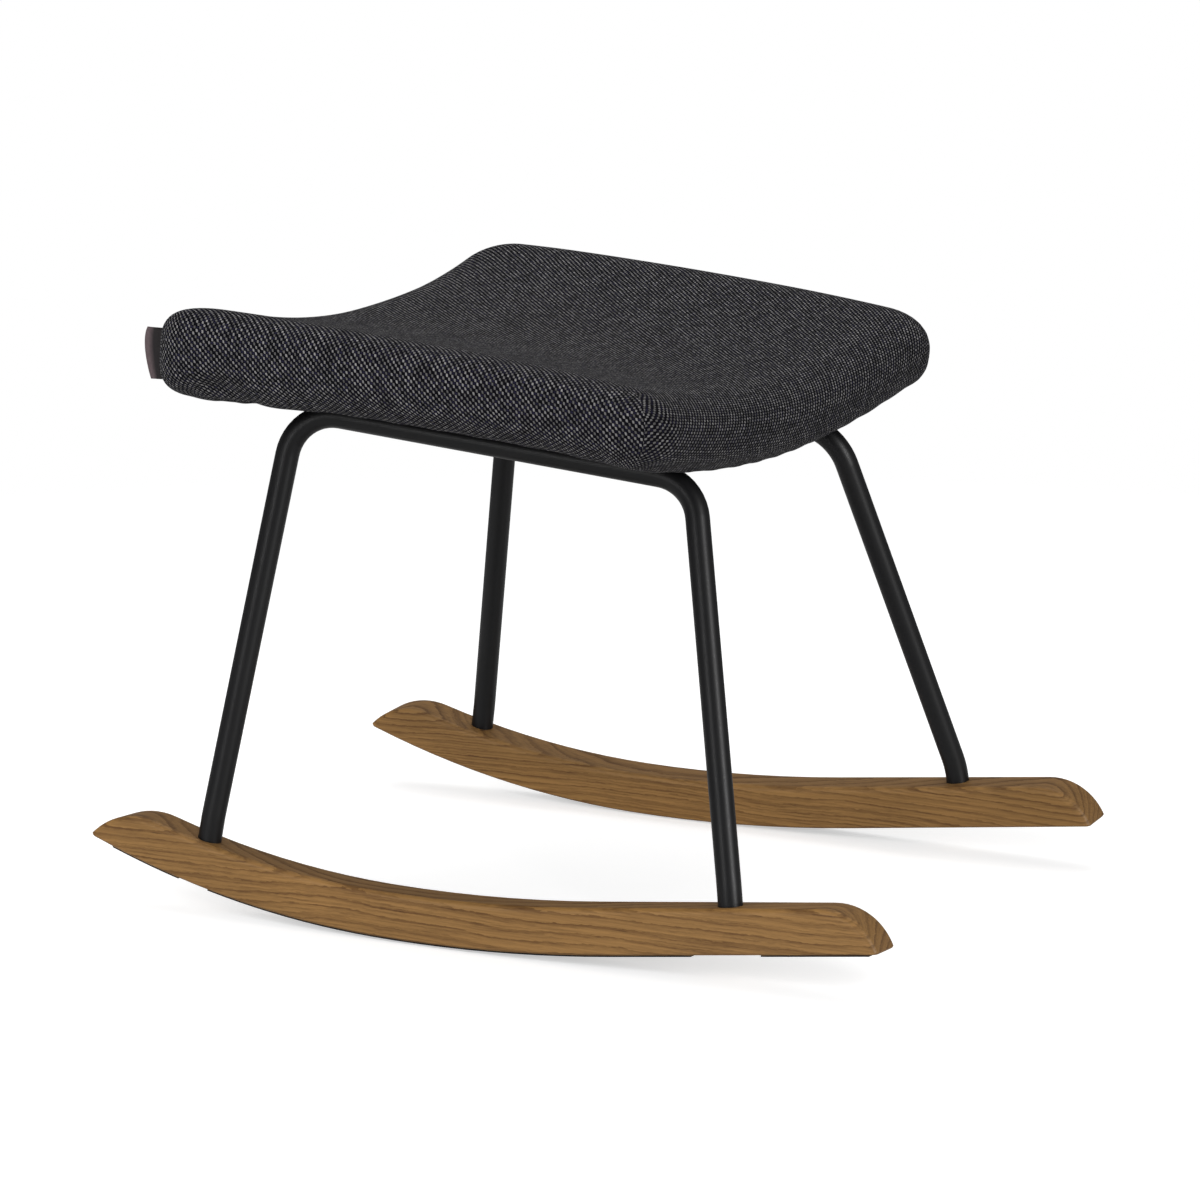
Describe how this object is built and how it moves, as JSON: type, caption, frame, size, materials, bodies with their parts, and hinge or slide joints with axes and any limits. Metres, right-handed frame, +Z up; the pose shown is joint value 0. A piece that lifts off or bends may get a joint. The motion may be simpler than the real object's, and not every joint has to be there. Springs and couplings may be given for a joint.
{
  "type": "rocking footstool",
  "caption": "Low rocking footstool: curved wooden rockers, bent black tube side frames and a dished, padded seat in coarse dark woven fabric.",
  "frame": {"origin": "on the floor, below the middle of the rockers' length and midway between them", "axes": "+X along the rockers towards the lower end of the seat, +Y across the stool, +Z up"},
  "size_m": [0.5779, 0.4714, 0.4118],
  "materials": {
    "rocker_wood": "clear satin oil on pale hardwood",
    "plywood": "bare plywood",
    "black_paint": "satin black powder coat",
    "plated_steel": "zinc plated",
    "black_rubber": "matt",
    "foam": "cut polyurethane foam",
    "woven_cover": "coarse basket weave, charcoal with pale flecks",
    "dust_cloth": "thin non-woven cloth",
    "tab_ribbon": "bare folded ribbon"
  },
  "bodies": {
    "root": {"rocker_near": "rocker_wood", "side_frame_near": "black_paint", "glide_strip_near_left": "black_rubber", "glide_strip_near_middle": "black_rubber", "glide_strip_near_right": "black_rubber", "rocker_far": "rocker_wood", "side_frame_far": "black_paint", "glide_strip_far_left": "black_rubber", "glide_strip_far_middle": "black_rubber", "glide_strip_far_right": "black_rubber", "seat_strap_left": "black_paint", "seat_strap_right": "black_paint", "leg_inserts": "plated_steel", "rocker_bolts": "plated_steel", "rocker_washers": "plated_steel", "seat_bolts": "plated_steel", "seat_washers": "plated_steel", "t_nuts": "plated_steel", "cover_staples": "plated_steel", "dust_staples": "plated_steel", "seat_shell": "plywood", "seat_foam": "foam", "seat_cover": "woven_cover", "dust_cover": "dust_cloth", "label_tab": "tab_ribbon"}
  },
  "joints": []
}
